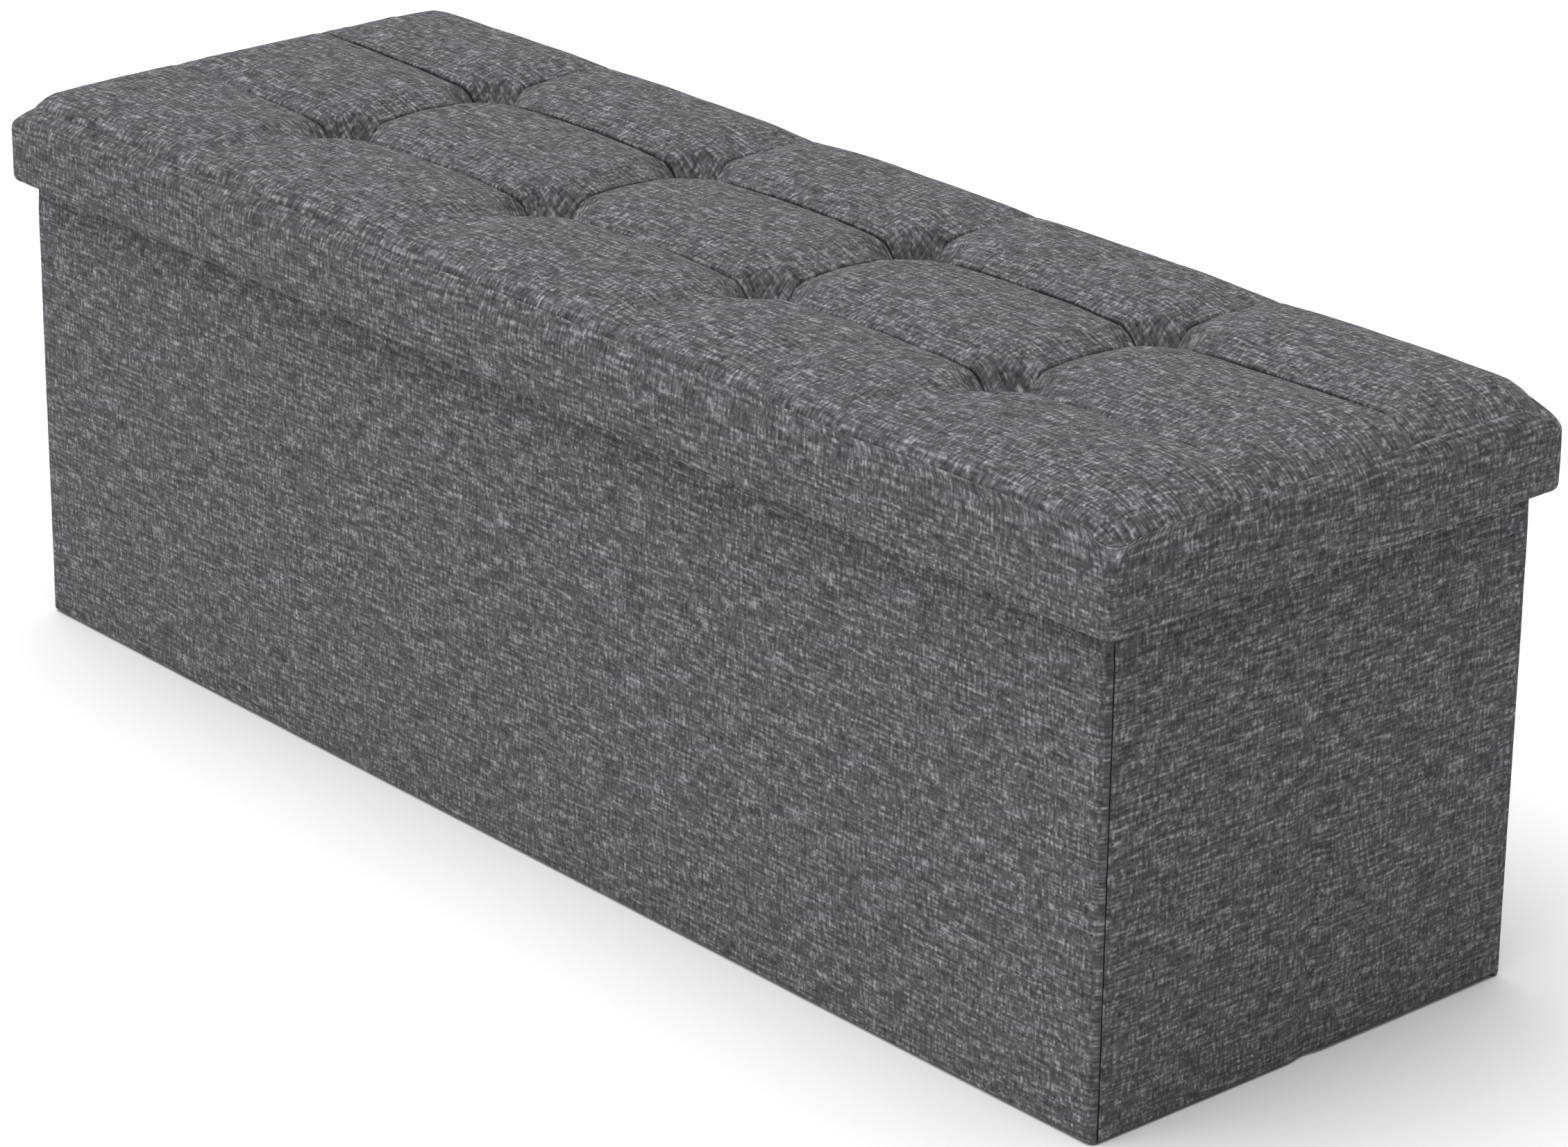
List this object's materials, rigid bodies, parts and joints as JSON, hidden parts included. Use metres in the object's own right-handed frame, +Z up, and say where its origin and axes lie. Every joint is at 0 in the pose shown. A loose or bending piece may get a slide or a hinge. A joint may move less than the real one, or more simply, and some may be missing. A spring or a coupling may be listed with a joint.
{
  "type": "folding storage bench",
  "caption": "Fabric-covered storage bench with a tufted lift-off lid; the box folds flat as its ends bend inwards.",
  "frame": {"origin": "centre of the bench's footprint on the floor", "axes": "+X along the bench, -Y towards the front wall, +Z up"},
  "size_m": [1.1, 0.38, 0.3965],
  "materials": {
    "linen_look_cover": "matte",
    "inner_lining": "matte",
    "fibreboard": "matte",
    "foam": "matte",
    "ribbon": "matte",
    "twine": "matte",
    "washer": "matte"
  },
  "bodies": {
    "front_wall": {"front_wall_cover": "linen_look_cover", "front_wall_board": "fibreboard", "front_wall_lining": "inner_lining"},
    "back_wall": {"back_wall_cover": "linen_look_cover", "back_wall_board": "fibreboard", "back_wall_lining": "inner_lining"},
    "right_rear_half": {"right_rear_half_cover": "linen_look_cover", "right_rear_half_board": "fibreboard", "right_rear_half_lining": "inner_lining"},
    "right_front_half": {"right_front_half_cover": "linen_look_cover", "right_front_half_board": "fibreboard", "right_front_half_lining": "inner_lining"},
    "left_rear_half": {"left_rear_half_cover": "linen_look_cover", "left_rear_half_board": "fibreboard", "left_rear_half_lining": "inner_lining"},
    "left_front_half": {"left_front_half_cover": "linen_look_cover", "left_front_half_board": "fibreboard", "left_front_half_lining": "inner_lining"},
    "bottom": {"bottom_board": "fibreboard", "bottom_lining": "inner_lining", "bottom_pull_tab": "ribbon"},
    "lid": {"lid_board": "fibreboard", "lid_front_rim": "fibreboard", "lid_rear_rim": "fibreboard", "lid_left_rim": "fibreboard", "lid_right_rim": "fibreboard", "lid_foam_pad": "foam", "lid_top_cover": "linen_look_cover", "lid_side_cover": "linen_look_cover", "lid_underside_lining": "inner_lining", "tuft_twines": "twine", "tuft_washers": "washer"}
  },
  "joints": [
    {"name": "fold", "type": "hinge", "parent": "back_wall", "child": "left_rear_half", "pos_m": [-0.531, 0.1675, 0], "axis": [0, 0, 1], "range_deg": [0, 90]},
    {"name": "left_middle_fold", "type": "hinge", "parent": "left_rear_half", "child": "left_front_half", "pos_m": [-0.5393, 0, 0], "axis": [0, 0, -1], "range_deg": [0, 180]},
    {"name": "front_wall_fold", "type": "hinge", "parent": "left_front_half", "child": "front_wall", "pos_m": [-0.531, -0.1675, 0], "axis": [0, 0, 1], "range_deg": [0, 90]},
    {"name": "right_rear_fold", "type": "hinge", "parent": "back_wall", "child": "right_rear_half", "pos_m": [0.531, 0.1675, 0], "axis": [0, 0, -1], "range_deg": [0, 90]},
    {"name": "right_middle_fold", "type": "hinge", "parent": "right_rear_half", "child": "right_front_half", "pos_m": [0.5393, 0, 0], "axis": [0, 0, 1], "range_deg": [0, 180]},
    {"name": "bottom_fold", "type": "hinge", "parent": "back_wall", "child": "bottom", "pos_m": [0, 0.1688, 0.0045], "axis": [-1, 0, 0], "range_deg": [0, 90], "deforming": ["bottom_lining"]},
    {"name": "lid_lift", "type": "slide", "parent": "back_wall", "child": "lid", "axis": [0, 0, 1], "range_m": [0, 0.42]}
  ],
  "couplings": [
    {"joint": "left_middle_fold", "follows": "fold", "ratio": 2},
    {"joint": "front_wall_fold", "follows": "fold", "ratio": 1},
    {"joint": "right_rear_fold", "follows": "fold", "ratio": 1},
    {"joint": "right_middle_fold", "follows": "fold", "ratio": 2},
    {"joint": "bottom_fold", "follows": "fold", "ratio": 1}
  ]
}
